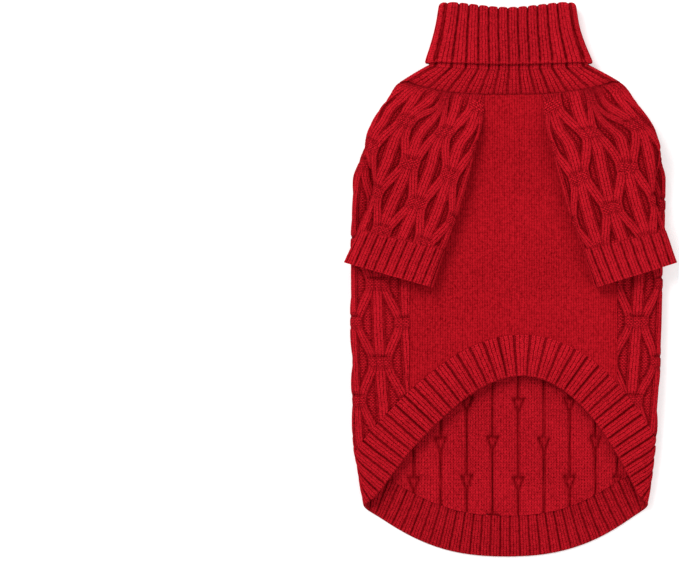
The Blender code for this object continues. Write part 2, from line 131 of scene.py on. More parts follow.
# The cloth lies wider than its even form at the right shoulder and at the left flank, by this much at y.
FULLNESS = {
    "y": (20, 38, 45, 68, 78, 90, 113, 143, 208, 223, 243, 268, 286, 303, 348, 360, 364, 370, 376),
    "right": (0, 0, 0, 0, 0, 0, 0, 0, 0, 0, 1.5, 2.4, 4.5, 5.8, 5.8, 5.5, 4, 0.5, 0),
    "left": (0, 1.2, 2, 2.2, 3.4, 3.6, 2.4, 1.8, 0.6, 0.5, 0, 0, 0, 0, 0, 0, 0, 0, 0),
}
FULLNESS_REACH = 4.0

# The knit. A wale is one column of stitches, and a course is one row of them.
WALE = 2.3
COURSE = 1.7
FINE_WALE = 1.85  # of the plain belly
FINE_COURSE = 1.75
INNER_WALE = 2.1  # of the back's inner face
INNER_COURSE = 1.6
RIB_DEPTH = 1.7  # how deep the grooves between ribs are
SMOCK_DEPTH = 2.4  # how deep the gathered pattern's ground lies on the body
INNER_DEPTH = 2.2  # and the grooves of its inner face
SLEEVE_DEPTH = 2.6  # and the pattern's ground on the sleeves
ROLL = 0.8  # how far a cast-off edge is rounded in from each face
BODY_PITCH = 19.4  # between two columns of the gathered pattern
BODY_PERIOD = 59.0  # between two knots of one column
BODY_PULL = 0.26  # how far a swinging rib stays from its column, in pitches
BODY_RIBS = (4.3, 3.4)  # half widths of the straight and the swinging ribs
BODY_KNOT_BAR = (0.4, 0.2, 0.75)
BODY_COLUMN = -10.5  # the first column's place across the back
BODY_KNOT = 84.8  # height of that column's first knot
EXTRA_COLUMN = (70.0, 55.0)  # one more column is gathered in from here, over this width


def eased(x):
    """0 up to 0, 1 from 1 on, and a smooth step between."""
    x = np.clip(x, 0.0, 1.0)
    return x * x * (3.0 - 2.0 * x)


def read(table, column, at, reach):
    """A table's column at a place, with its corners rounded over a reach on each side."""
    places, values = (np.array(table[key], float) for key in (next(iter(table)), column))
    places = np.concatenate([[2 * places[0] - places[1]], places, [2 * places[-1] - places[-2]]])
    values = np.concatenate([[2 * values[0] - values[1]], values, [2 * values[-1] - values[-2]]])
    around = np.asarray(at, float)[..., None] + reach * np.linspace(-1, 1, 9)
    return np.interp(around, places, values).mean(-1)


def body_row(y):
    """Length of the flat half and side fold's radius of the body tube at a height y."""
    half_width, thickness = (read(BODY, key, y, BODY_REACH) for key in ("half_width", "thickness"))
    return half_width - thickness / 2, thickness / 2


def half_girth(y):
    """The way round from the middle of the back to the middle of the belly side."""
    flat, radius = body_row(y)
    return 2 * flat + np.pi * radius


def top_sag(over, y):
    """How far the top layer sinks at a distance in from the side fold."""
    return BELLY_SAG * eased(over / 18.0) * eased((y - 40.0) / 60.0)


def body_point(u, y, inset=0.0):
    """A point of the body tube's outer face. u is the way round from the middle of the back, which lies
    underneath: to the right if positive, over the side fold and back to the middle on the belly side."""
    flat, radius = body_row(y)
    girth = 2 * flat + np.pi * radius
    u = (u + girth) % (2 * girth) - girth
    way = np.abs(u)
    turn = np.clip((way - flat) / radius, 0, np.pi)
    over = np.clip(way - flat - np.pi * radius, 0, None)
    across = np.minimum(way, flat) + (radius - inset) * np.sin(turn) - over
    z = radius - (radius - inset) * np.cos(turn) - top_sag(over, y)
    return np.stack([np.sign(u) * across, y + 0 * u, z], -1)


def body_surface(u, y):
    """Points of the body's outer face, and the unit vectors that point inwards from them."""
    outer = body_point(u, y)
    return outer, body_point(u, y, inset=1.0) - outer


def evenly(line, count):
    """The same line with its points evenly spaced."""
    steps = np.concatenate([[0], np.cumsum(np.linalg.norm(np.diff(line, axis=0), axis=1))])
    at = np.linspace(0, steps[-1], count)
    return np.stack([np.interp(at, steps, line[:, 0]), np.interp(at, steps, line[:, 1])], -1)


def hem_loop(count=721):
    """The hem's open edge as (w, y), all the way round from the belly's middle and back to it. w is the way
    round from the back's middle, drawn to the girth HEM_GIRTH at every height."""
    span, corner_y = HEM_CORNER
    back_x = np.linspace(-0.93, 0.93, count) * span
    back_y = corner_y * np.abs(back_x / span) ** HEM_BACK_POWER
    back = np.stack([back_x * HEM_GIRTH / half_girth(back_y), back_y], -1)
    share = np.linspace(0, 0.95, count)
    sides = []
    for side in (-1.0, 1.0):
        x = side * ARCH_HALF_SPAN * share + ARCH_LEAN * (1 - share**2)
        y = ARCH_TOP - ARCH_RISE * share**ARCH_POWER
        sides.append(np.stack([side * HEM_GIRTH - x * HEM_GIRTH / half_girth(y), y], -1))
    return evenly(np.concatenate([sides[0], back, sides[1][::-1]]), count)


def round_and_round(line):
    """The loop with a copy of itself on each side, so that its two ends are treated as one place."""
    period = np.array([2 * HEM_GIRTH, 0])
    return np.concatenate([line[:-1] - period, line, line[1:] + period])


def rounded(line, passes):
    """The loop with its corners worn round."""
    for _ in range(passes):
        wide = round_and_round(line)[len(line) - 2 : 2 * len(line)]
        line = (wide[:-2] + 2 * wide[1:-1] + wide[2:]) / 4
    return line


HEM_EDGE = rounded(hem_loop(), HEM_ROUNDING)


def band_line(width):
    """The line that runs beside the hem's open edge, this far up the cloth."""
    slope = np.gradient(round_and_round(HEM_EDGE), axis=0)[len(HEM_EDGE) - 1 : 2 * len(HEM_EDGE) - 1]
    normal = np.stack([-slope[:, 1], slope[:, 0]], -1) / np.linalg.norm(slope, axis=1)[:, None]
    return HEM_EDGE + width * normal


BAND_TOP = round_and_round(band_line(BAND_WIDTH + SEAM))


def band_top(u, y):
    """Height of the hem band's seam at a way round u."""
    return np.interp(u * HEM_GIRTH / half_girth(y), BAND_TOP[:, 0], BAND_TOP[:, 1])


def neck_seam(u):
    """Height of the collar's seam at a way round u."""
    flat, radius = body_row(NECK_SEAM_SIDE)
    way = np.abs(u)
    back = NECK_SEAM_BACK + (NECK_SEAM_SIDE - NECK_SEAM_BACK - 1.5) * np.clip(way / flat, 0, 1) ** 2
    x = np.clip(2 * flat + np.pi * radius - way, 0, flat)
    belly = NECK_SEAM_BELLY + (NECK_SEAM_SIDE - NECK_SEAM_BELLY - 1.0) * (x / flat) ** 2
    return back + (belly - back) * eased((way - flat + 4) / (np.pi * radius + 8))


def sleeve_folds(row, side):
    """Plan places of a sleeve's inner and outer fold at a cross-section."""
    inner_x, inner_y, outer_x, outer_y = (read(SLEEVE, key, row, SLEEVE_REACH) for key in tuple(SLEEVE)[1:])
    inner = np.stack([side * inner_x + INNER_SHIFT, inner_y], -1)
    outer = np.stack([side * outer_x + OUTER_SHIFT * eased((row - 1.5) / 1.5), outer_y], -1)
    return inner, outer


def lying_height(x, y):
    """Height of the body's top under a sleeve, with the droop past the body's edge."""
    flat, radius = body_row(y)
    past = np.abs(x) - flat
    return 2 * radius - top_sag(-past, y) - SLEEVE_DROOP * np.clip(past - 2, 0, None)


def sleeve_ends(row, side):
    """Where a cross-section begins on the belly side and ends on the back panel: shares of its width, the
    height of its end, the turn reached on the body's side fold, and the inner fold's radius and angle."""
    inner, outer = sleeve_folds(row, side)
    width = np.linalg.norm(outer - inner, axis=-1)
    flat, fold = body_row(outer[..., 1])
    radius = FOLD_RADIUS[0] + (FOLD_RADIUS[1] - FOLD_RADIUS[0]) * eased(row / ARMPIT_ROW)
    angle = np.pi * (0.02 + 0.98 * eased(row / FOLD_READY_ROW))
    meet = 0.5 - SEAM / 2 / width
    start = (radius - radius * np.sin(angle)) / width
    start = start + (meet - start) * eased((row - 1.1) / (ARMPIT_ROW - 1.1))
    turn = np.pi * eased((row - CROSSING_ROWS[0]) / (CROSSING_ROWS[1] - CROSSING_ROWS[0]))
    at_collar = body_row(NECK_SEAM_SIDE)[0] - BACK_TUCK
    reach = at_collar + (flat + fold * np.sin(turn) - at_collar) * eased(row / CROSSING_ROWS[1])
    finish = (side * -inner[..., 0] + reach) / np.abs(outer[..., 0] - inner[..., 0])
    finish = finish + (1 - meet - finish) * eased((row - CROSSING_ROWS[1]) / (ARMPIT_ROW - CROSSING_ROWS[1]))
    end = inner + finish[..., None] * (outer - inner)
    high = lying_height(end[..., 0], end[..., 1]) * (1 - np.cos(turn)) / 2 + SLEEVE_LIFT * eased(row / 1.2)
    return inner, outer, width, start, finish, high, turn, radius, angle


def sleeve_point(across, row, side):
    """A point of a sleeve's outer face, from the belly seam, round its inner fold, over the top and round its
    outer fold to the back seam; its inward vector; and how far across the laid sleeve it is."""
    inner, outer, width, start, finish, high, turn, radius, angle = sleeve_ends(row, side)
    at_outer = lying_height(outer[:, 0], outer[:, 1])
    crest = at_outer + (SLEEVE_LIFT + 2 * FOLD_RADIUS[1]) * eased(row / 1.4)
    outer_radius = (crest - high) / 2
    curl = radius - radius * np.sin(np.minimum(angle, np.pi))
    under_in = np.clip(start * width - curl, 0, None)
    under_out = np.clip(width - outer_radius - finish * width, 0, None)
    lengths = (under_in, radius * angle, width - radius - outer_radius, outer_radius * np.pi, under_out)
    total = sum(lengths)
    way = (across + 1) / 2 * total
    parts = []
    left = way
    for length in lengths:
        parts.append(np.clip(left, 0, length))
        left = left - length
    turned_in = angle - parts[1] / radius
    turned_out = parts[3] / outer_radius
    reach = np.where(
        parts[2] + parts[3] > 0,
        radius + parts[2] + outer_radius * np.sin(turned_out) - parts[4],
        np.where(parts[1] > 0, radius - radius * np.sin(turned_in), curl + under_in - parts[0]),
    )
    plan = inner + (reach / width)[:, None] * (outer - inner)
    stacked = eased((row - CROSSING_ROWS[1]) / 0.5)
    lying = lying_height(plan[:, 0], plan[:, 1]) + SLEEVE_LIFT * eased(row / 1.2)
    high = high + (lying - high) * stacked
    rise_in = lying + radius * (np.cos(turned_in) - np.cos(angle))
    rise_out = high + outer_radius * (1 + np.cos(turned_out))
    blend = eased(parts[2] / lengths[2])
    height = rise_in + (rise_out - rise_in) * blend
    turned = np.where(parts[2] <= 0, -turned_in, np.where(parts[3] > 0, turned_out, 0))
    turned = np.where(parts[1] <= 0, -angle, turned)
    outwards = side * np.sin(turned)
    inward = -np.stack([outwards, 0 * outwards, np.cos(turned)], -1)
    flat, fold = body_row(plan[:, 1])
    across_body = np.abs(plan[:, 0])
    round_fold = np.minimum(across_body, flat) + fold * np.arcsin(np.clip((across_body - flat) / fold, 0, 1))
    seam_u = np.where(turned_out < np.pi / 2, 2 * flat + np.pi * fold - round_fold, round_fold)
    plan[:, 1] += (neck_seam(seam_u) - NECK_GAP - plan[:, 1]) * (1 - eased(row / 0.6))
    from_middle = way - sum(lengths[:2]) - lengths[2] / 2
    return np.concatenate([plan, height[:, None]], -1), inward, from_middle


def armhole(side, edge):
    """An armhole's edge: each height y with the way round u, on the belly panel or on the back panel."""
    row = np.linspace(0, ARMPIT_ROW, 121)
    x, y, _ = sleeve_point(np.full_like(row, -1 if edge == "belly" else 1), row, side)[0].T
    turn = sleeve_ends(row, side)[6]
    flat, fold = body_row(y)
    u = 2 * flat + np.pi * fold - np.abs(x)
    if edge == "back":
        round_fold = np.abs(x) + fold * (turn - np.sin(turn))
        u = np.where(turn < np.pi, round_fold, np.maximum(u, flat + np.pi * fold))
    return np.stack([y, u], -1)[::-1]


ARMHOLES = {(side, edge): armhole(side, edge) for side in (-1, 1) for edge in ("belly", "back")}


def panel_edge(y, side, edge):
    """The way round to a panel's edge: at the side seam, and above the armpit at the armhole."""
    line = ARMHOLES[side, edge]
    seam = half_girth(y) - np.abs(side * BELLY_HALF_WIDTH + BELLY_SHIFT)
    low_y, low_u = line[0]
    below = low_u + (seam - low_u) * eased((low_y - y) / 32.0)
    u = np.where(y < low_y, below, np.interp(y, line[:, 0], line[:, 1]))
    tuck = 3.0 * eased((y - low_y) / 14.0)
    return u + (-SEAM / 2 if edge == "back" else SEAM / 2 - tuck)


def settle(u_of, y_low, y_high, along):
    """Solves for the points of a panel whose sides depend on y and whose ends depend on u."""
    y = y_low(0 * along, 0) * (1 - along) + y_high(0 * along) * along
    for _ in range(40):
        u = u_of(y)
        aim = y_low(u, y) * (1 - along) + y_high(u) * along
        y = (y + aim) / 2
    return u_of(y), y


# ---------------------------------------------------------------------------------------------------------
# Knitted relief. Each function gives a height from 0, the ground, to 1, the crest, with the stitch grid's
# coordinates: wales across and courses along.


def rib_relief(turns, way):
    """Ribs with narrow grooves, one rib for each unit of turns: height, wale and course."""
    off = turns - np.round(turns)
    height = np.sqrt(np.clip(1 - np.abs(off / 0.49) ** 3.4, 0, 1))
    return height, np.round(turns) * 4 + 0.5 + off * 3.3, way / COURSE


def round_rib(distance, half_width):
    """A rib's rounded section, from 1 at its middle to 0 past its edge."""
    return np.clip(1 - np.abs(distance / half_width) ** 2.6, 0, 1) ** 0.5


def lantern_relief(s, v, pitch, period, pull, rib, knot):
    """The gathered pattern: each column has a straight rib, and between columns a rib swings from one
    column's knot to the next one's. s counts columns, and v is the way up from a knot of column 0. knot
    gives its bar's half width in pitches, its height over the ribs and the depth of the crease over it, which
    also darkens the crease with painted shade. The crest it returns is the colour's share of light: painted
    shade in the hollows and beside the ribs."""
    column = np.round(s)
    off = (s - column) * pitch

    def to_knot(k):
        """Way up from the nearest knot of column k, from minus to plus half a period."""
        t = v / period - 0.5 * np.mod(k, 2)
        return (t - np.round(t)) * period

    near = to_knot(column)
    gather = np.exp(-((near / 7.0) ** 2))
    straight_half = rib[0] * (1 - 0.2 * gather)
    straight = round_rib(off, straight_half)
    left = np.floor(s)
    swing = np.clip((np.abs(to_knot(left)) / (period / 2) - 0.11) / 0.78, 0, 1)
    swing = 0.75 * swing + 0.25 * eased(swing)
    side_off = (s - (left + pull + (1 - 2 * pull) * swing)) * pitch
    swing_half = rib[1] * (1 + 0.1 * np.sin(np.pi * swing))
    swinging = round_rib(side_off, swing_half)
    rise = np.maximum(straight, swinging)
    on_straight = straight >= swinging
    wale = np.where(on_straight, 8 * column + off / WALE, 8 * left + 4 + side_off / WALE) + 0.5
    # The ground between ribs is a purl hollow; its colour is darkest beside a rib, which is painted shade.
    clear = np.minimum(np.abs(off) - straight_half, np.abs(side_off) - swing_half)
    open_ground = eased(clear / 2.6)
    height = np.where(rise > 0, rise, 0.22 * open_ground)
    crest = np.where(rise > 0, 0.28 + 0.76 * rise, 0.26 + 0.62 * open_ground)
    # The knot: a bar across the three gathered ribs, with a sunken crease over it that painted shade darkens;
    # the bar's colour is lighter towards its top, which is painted light.
    wide = np.clip(1 - (np.abs(off) / (knot[0] * pitch)) ** 6, 0, 1)
    bar = wide * np.clip(1 - (np.abs(near) / 3.6) ** 4, 0, 1)
    lumps = 0.9 + 0.1 * np.cos(2 * np.pi * off / 2.6)
    knotted = bar > 0.02
    height = np.where(knotted, np.maximum(height * 0.8, (0.35 + (0.65 + knot[1]) * bar**0.4) * lumps), height)
    crease = np.exp(-(((near - 4.6) / 1.0) ** 2)) * wide + 0.5 * np.exp(-(((near + 4.6) / 0.9) ** 2)) * wide
    height = np.where(knotted, height, height * (1 - knot[2] * crease))
    crest = np.where(knotted, 0.4 + 0.56 * bar**0.4, crest * (1 - knot[2] * crease))
    purl = np.where(knotted | (rise <= 0), 1.0, 0.0)
    return np.clip(height, 0, 1.3), wale, v / COURSE, purl, crest


# ---------------------------------------------------------------------------------------------------------
# Materials


def socket(group, name, kind, way, value=None):
    """One named input or output of a node group."""
    made = group.interface.new_socket(name=name, in_out=way, socket_type=kind)
    if value is not None:
        made.default_value = value


def knit_group():
    """Stitches of a knit, from a UV map in wales and courses: their colour, with painted light on the raised
    stitches and painted shade between them and in the hollows, and their height.
    """
    group = bpy.data.node_groups.new("knit_stitches", "ShaderNodeTree")
    socket(group, "Colour", "NodeSocketColor", "INPUT")
    socket(group, "Shade", "NodeSocketColor", "INPUT")
    socket(group, "Contrast", "NodeSocketFloat", "INPUT", 0.5)
    socket(group, "Fuzz", "NodeSocketFloat", "INPUT", 1.5)
    socket(group, "Colour", "NodeSocketColor", "OUTPUT")
    socket(group, "Height", "NodeSocketFloat", "OUTPUT")
    nodes, links = group.nodes, group.links
    into, out = nodes.new("NodeGroupInput"), nodes.new("NodeGroupOutput")

    def math(kind, a, b=None, c=None):
        node = nodes.new("ShaderNodeMath")
        node.operation = kind
        for slot, value in enumerate((a, b, c)):
            if value is None:
                continue
            if isinstance(value, (int, float)):
                node.inputs[slot].default_value = value
            else:
                links.new(value, node.inputs[slot])
        return node.outputs[0]

    def attribute(name):
        node = nodes.new("ShaderNodeAttribute")
        node.attribute_name = name
        return node

    uv = nodes.new("ShaderNodeUVMap")
    uv.uv_map = "stitches"
    split = nodes.new("ShaderNodeSeparateXYZ")
    links.new(uv.outputs[0], split.inputs[0])
    coords = nodes.new("ShaderNodeTexCoord")
    wobble = nodes.new("ShaderNodeTexNoise")
    wobble.inputs["Scale"].default_value = 260.0
    wobble.inputs["Detail"].default_value = 1.0
    links.new(coords.outputs["Object"], wobble.inputs["Vector"])
    shake = math("MULTIPLY", math("SUBTRACT", wobble.outputs[0], 0.5), 0.5)
    u = math("ADD", split.outputs[0], shake)
    v = math("ADD", split.outputs[1], math("MULTIPLY", shake, 0.8))
    off = math("ABSOLUTE", math("SUBTRACT", math("FRACT", u), 0.5))
    # Plain face: two slanted legs a stitch, which meet in a V at the wale's middle.
    leg_v = math("FRACT", math("SUBTRACT", v, math("MULTIPLY", off, 1.4)))
    leg = math("POWER", math("MAXIMUM", math("SINE", math("MULTIPLY", leg_v, 3.1416)), 0.0), 0.8)
    edge = math("SUBTRACT", 1.0, math("POWER", math("MULTIPLY", off, 2.0), 3.0))
    notch = math("MAXIMUM", math("SUBTRACT", 1.0, math("MULTIPLY", off, 7.0)), 0.0)
    across = math("MULTIPLY", edge, math("SUBTRACT", 1.0, math("MULTIPLY", notch, 0.4)))
    plain = math("MULTIPLY", across, math("ADD", math("MULTIPLY", leg, 0.6), 0.4))
    # Purl face: bumps in brick order.
    rows = math("MULTIPLY", v, 1.4)
    shifted = math("ADD", u, math("MULTIPLY", math("FLOOR", rows), 0.5))
    bump_u = math("SINE", math("MULTIPLY", math("FRACT", shifted), 3.1416))
    bump_v = math("SINE", math("MULTIPLY", math("FRACT", rows), 3.1416))
    purl = math("POWER", math("MAXIMUM", math("MULTIPLY", bump_u, bump_v), 0.0), 0.6)
    choose = nodes.new("ShaderNodeMix")
    choose.data_type = "FLOAT"
    links.new(attribute("purl").outputs["Fac"], choose.inputs[0])
    links.new(plain, choose.inputs[2])
    links.new(purl, choose.inputs[3])
    stitch = choose.outputs[0]

    fuzz = nodes.new("ShaderNodeTexNoise")
    fuzz.inputs["Scale"].default_value = 620.0
    fuzz.inputs["Detail"].default_value = 3.0
    fuzz.inputs["Roughness"].default_value = 0.7
    links.new(coords.outputs["Object"], fuzz.inputs["Vector"])
    cloud = nodes.new("ShaderNodeTexNoise")
    cloud.inputs["Scale"].default_value = 22.0
    cloud.inputs["Detail"].default_value = 2.0
    links.new(coords.outputs["Object"], cloud.inputs["Vector"])

    # The colour is lighter on the raised parts of each stitch and darker between them, which is painted light
    # and shade; the fibre fuzz and the cloud add random tone.
    lit = math("ADD", stitch, math("MULTIPLY", math("SUBTRACT", fuzz.outputs[0], 0.5), into.outputs["Fuzz"]))
    lit = math("ADD", lit, math("MULTIPLY", math("SUBTRACT", cloud.outputs[0], 0.5), 0.3))
    # Contrast 0 gives the middle colour everywhere.
    share = math("ADD", 0.6, math("MULTIPLY", math("SUBTRACT", lit, 0.5), into.outputs["Contrast"]))
    # The crest attribute pulls the colour towards the dark shade colour in grooves and hollows: painted
    # shade.
    share = math("MULTIPLY", share, attribute("crest").outputs["Fac"])
    tint = nodes.new("ShaderNodeMix")
    tint.data_type = "RGBA"
    tint.clamp_factor = True
    links.new(share, tint.inputs["Factor"])
    links.new(into.outputs["Shade"], tint.inputs["A"])
    links.new(into.outputs["Colour"], tint.inputs["B"])
    links.new(tint.outputs["Result"], out.inputs["Colour"])
    height = math("ADD", stitch, math("MULTIPLY", fuzz.outputs[0], 0.5))
    links.new(height, out.inputs["Height"])
    return group


def knit_material(name, colour, shade_red, contrast, fuzz, bump):
    """Matt wool-like knit; every knitted piece takes one of these."""
    material = bpy.data.materials.new(name)
    material.use_nodes = True
    nodes, links = material.node_tree.nodes, material.node_tree.links
    shader = nodes["Principled BSDF"]
    shader.inputs["Roughness"].default_value = 0.92
    shader.inputs["Specular IOR Level"].default_value = 0.0
    shader.inputs["Sheen Weight"].default_value = 0.01
    shader.inputs["Sheen Roughness"].default_value = 0.55
    shader.inputs["Sheen Tint"].default_value = (1.0, 0.35, 0.35, 1.0)
    stitches = nodes.new("ShaderNodeGroup")
    stitches.node_tree = KNIT
    stitches.inputs["Colour"].default_value = colour
    # The dark red is the painted shade of the grooves and hollows.
    stitches.inputs["Shade"].default_value = shade_red
    stitches.inputs["Contrast"].default_value = contrast
    stitches.inputs["Fuzz"].default_value = fuzz
    relief = nodes.new("ShaderNodeBump")
    relief.inputs["Strength"].default_value = bump
    relief.inputs["Distance"].default_value = 0.0007
    links.new(stitches.outputs["Height"], relief.inputs["Height"])
    links.new(stitches.outputs["Colour"], shader.inputs["Base Color"])
    links.new(relief.outputs["Normal"], shader.inputs["Normal"])
    return material


# ---------------------------------------------------------------------------------------------------------
# Pieces


def spread(points):
    """Moves points outwards where the cloth lies wider."""
    x = points[:, 0]
    right, left = (read(FULLNESS, key, points[:, 1], FULLNESS_REACH) for key in ("right", "left"))
    wider = right * eased((x - 35) / 60) - left * eased((-x - 40) / 60)
    return points + np.stack([wider, 0 * x, 0 * x], -1)


def knitted(name, cells, form, material):
    """A knitted shell. form gives, for every grid place, the outer point, the inner point, and the stitch
    coordinates, crest and purl of both faces; crest is the colour's share of light, which paints shade into
    the hollows."""
    grid = bmesh.new()
    bmesh.ops.create_grid(grid, x_segments=cells[0], y_segments=cells[1], size=1.0)
    laid = len(grid.verts)
    bmesh.ops.extrude_face_region(grid, geom=list(grid.faces), use_keep_orig=True)
    bmesh.ops.recalc_face_normals(grid, faces=list(grid.faces))
    mesh = bpy.data.meshes.new(name)
    grid.to_mesh(mesh)
    grid.free()
    count = len(mesh.vertices)
    place = np.empty(count * 3)
    mesh.vertices.foreach_get("co", place)
    place = place.reshape(-1, 3)
    inside = np.arange(count) >= laid
    across, along = place[:, 0], (place[:, 1] + 1) / 2
    face = form(across, along, inside)
    points = (spread(face["point"]) + SHIFT) * MM
    mesh.vertices.foreach_set("co", points.ravel())
    corner = np.empty(len(mesh.loops), int)
    mesh.loops.foreach_get("vertex_index", corner)
    uv = mesh.uv_layers.new(name="stitches")
    uv.data.foreach_set("uv", np.stack([face["wale"], face["course"]], -1)[corner].ravel())
    for key in ("crest", "purl"):
        layer = mesh.attributes.new(name=key, type="FLOAT", domain="POINT")
        layer.data.foreach_set("value", np.broadcast_to(face[key], count).astype(np.float32))
    mesh.update()
    closed = bmesh.new()
    closed.from_mesh(mesh)
    if closed.calc_volume(signed=True) < 0:
        bmesh.ops.reverse_faces(closed, faces=list(closed.faces))
        closed.to_mesh(mesh)
    closed.free()
    mesh.shade_smooth()
    mesh.set_sharp_from_angle(angle=1.35)
    mesh.materials.append(material)
    piece = bpy.data.objects.new(name, mesh)
    bpy.context.scene.collection.objects.link(piece)
    return piece


def shell_point(outer, inward, inside, wall, height, inner_height, depth, inner_depth):
    """The outer or the inner face's points, sunk from the crests by the relief's depth."""
    sink = np.where(inside, wall - inner_depth * (1 - inner_height), depth * (1 - height))
    return outer + inward * sink[:, None]


# Each form function places one piece: across and along run over its grid, and inside is true on its inner
# face.


def back_form(across, along, inside):
    half_cells = (88, 36, 41)  # under the body, round the side fold, and on the belly side
    total = sum(half_cells)

    def u_of(y):
        flat, radius = body_row(y)
        end = np.where(across >= 0, panel_edge(y, 1, "back"), panel_edge(y, -1, "back"))
        fold_start, fold_end = np.minimum(flat, 0.8 * end), np.minimum(flat + np.pi * radius, 0.96 * end)
        share = np.abs(across) * total
        a, b = half_cells[0], half_cells[0] + half_cells[1]
        way = (np.clip(share / a, 0, 1) * fold_start
               + np.clip((share - a) / (b - a), 0, 1) * (fold_end - fold_start)
               + np.clip((share - b) / (total - b), 0, 1) * (end - fold_end))
        return np.where(across >= 0, way, -way)

    u, y = settle(u_of, band_top, lambda u: neck_seam(u) - NECK_GAP, along)
    outer, inward = body_surface(u, y)
    extra = np.sign(u) * eased((np.abs(u) - EXTRA_COLUMN[0]) / EXTRA_COLUMN[1])
    extra -= np.sign(u) * 0.0035 * (np.abs(u) - 146.8) * eased((np.abs(u) - 120) / 14)
    s = (u - BODY_COLUMN) / BODY_PITCH + extra
    v = y - BODY_KNOT - 3.2 * eased((np.abs(u) - 95) / 30) + 0.7 * np.sin(u / 14.0)
    height, wale, course, purl, crest = lantern_relief(
        s, v, BODY_PITCH, BODY_PERIOD, BODY_PULL, BODY_RIBS, BODY_KNOT_BAR)
    height = np.minimum(height, np.where(np.abs(u) < 125, 1.0, 1.3))  # pressed flat where it rests
    # The inner face: flat bands between deep grooves, and a small pocket at each knot.
    column = np.round(s)
    off = (s - column) * BODY_PITCH
    near = v / BODY_PERIOD - 0.5 * np.mod(column, 2)
    near = (near - np.round(near)) * BODY_PERIOD
    pocket_half = 4.0 * np.clip((near + 5.6) / 10.6, 0, 1)
    rim = np.exp(-(((np.abs(off) - pocket_half) / 1.0) ** 2)) * (near > -6.5) * (near < 5.5)
    lid = np.exp(-(((near - 5.0) / 1.3) ** 2)) * (np.abs(off) < 4.6)
    in_pocket = (np.abs(near) < 6.2) & (np.abs(off) < pocket_half + 0.5)
    groove = np.where(in_pocket, 0.2, np.exp(-((off / (0.85 + 0.5 * np.exp(-((near / 12.0) ** 2)))) ** 2)))
    inner_height = 1 - np.clip(np.maximum(np.maximum(groove, rim), lid), 0, 1)
    point = shell_point(outer, inward, inside, BACK_WALL, height, inner_height, SMOCK_DEPTH, INNER_DEPTH)
    return {
        "point": point,
        "wale": np.where(inside, u / INNER_WALE, wale),
        "course": np.where(inside, y / INNER_COURSE, course),
        # crest: painted shade in the inner face's grooves and pockets, and in the outer face's hollows.
        "crest": np.where(inside, 0.26 + 0.68 * inner_height, 0.13 + 0.87 * crest),
        "purl": np.where(inside, 0.4, purl),
    }


def belly_form(across, along, inside):
    neck_girth = half_girth(BELLY_NECK)

    def u_of(y):
        girth = half_girth(y)
        left, right = 2 * girth - panel_edge(y, -1, "belly"), panel_edge(y, 1, "belly")
        return left + (right - left) * (across + 1) / 2

    def signed(u, y):
        return np.where(u > half_girth(y), u - 2 * half_girth(y), u)

    u, y = settle(
        u_of,
        lambda u, y: band_top(signed(u, y), y),
        lambda u: neck_seam(np.where(u > neck_girth, u - 2 * neck_girth, u)) - NECK_GAP,
        along,
    )
    u = signed(u, y)
    outer, inward = body_surface(u, y)
    outer[:, 2] -= BELLY_DROP
    x, up = outer[:, 0], outer[:, 1]
    wave = 0.5 * np.sin(x / 19.0 + 0.8) * np.sin(up / 27.0) + 0.35 * np.sin(up / 11.0 + x / 31.0)
    outer[:, 2] += wave * BELLY_RIPPLE
    ones = np.ones_like(u)
    return {
        "point": outer + inward * np.where(inside, BELLY_WALL, 0)[:, None],
        "wale": outer[:, 0] / FINE_WALE,
        "course": y / FINE_COURSE,
        "crest": ones,
        "purl": np.where(inside, 1.0, 0.0),
    }


def hem_turns(at):
    """Ribs counted along the hem from the belly's middle: they are wider spaced on the arch."""
    line = band_line(12.0)
    u = line[:, 0] * half_girth(line[:, 1]) / HEM_GIRTH
    steps = np.hypot(np.diff(u), np.diff(line[:, 1]))
    share = np.linspace(0, 1, len(line))
    pitch = 7.3 + 2.0 * eased((np.abs(share[1:] - 0.5) - 0.2) / 0.12)
    count = np.concatenate([[0], np.cumsum(steps / pitch)])
    count *= np.round(count[-1]) / count[-1]
    return np.interp(at % 1, share, count) + np.floor(at) * count[-1]


def hem_form(across, along, inside):
    at = (across + 1) / 2 * (1 - 0.0004) + 0.128
    low, high = (round_and_round(line) for line in (HEM_EDGE, band_line(BAND_WIDTH)))
    places = np.linspace(-1, 2, len(low))
    w, y = (
        np.interp(at, places, low[:, k]) * (1 - along) + np.interp(at, places, high[:, k]) * along
        for k in (0, 1)
    )
    outer, inward = body_surface(w * half_girth(y) / HEM_GIRTH, y)
    turns = hem_turns(at)
    height, wale, course = rib_relief(turns, along * BAND_WIDTH)
    inner_height, inner_wale, _ = rib_relief(turns + 0.5, along * BAND_WIDTH)
    edge = eased((along * BAND_WIDTH - 0.6) / 2.4)  # the cast-off edge closes the grooves
    height, inner_height = (1 - (1 - h) * (0.25 + 0.75 * edge) for h in (height, inner_height))
    rolled = ROLL * np.clip(1 - along * BAND_WIDTH / 1.6, 0, 1) ** 2
    point = shell_point(outer, inward, inside, RIB_WALL, height, inner_height, RIB_DEPTH, 1.3)
    point += inward * np.where(inside, -rolled, rolled)[:, None]
    return {
        "point": point,
        "wale": np.where(inside, inner_wale, wale),
        "course": course,
        # crest: painted shade in the rib grooves of both faces.
        "crest": np.where(inside, 0.37 + 0.50 * inner_height, 0.18 + 0.78 * height),
        "purl": np.zeros_like(w),
    }


def by_side(table, way_share):
    """A value that changes from the back's middle (share 0) by the side (0.5) to the belly's middle (1)."""
    share = np.abs(way_share)
    rise = eased(share / 0.5)
    fall = eased((share - 0.5) / 0.5)
    return table["back"] + (table["side"] - table["back"]) * rise + (table["belly"] - table["side"]) * fall


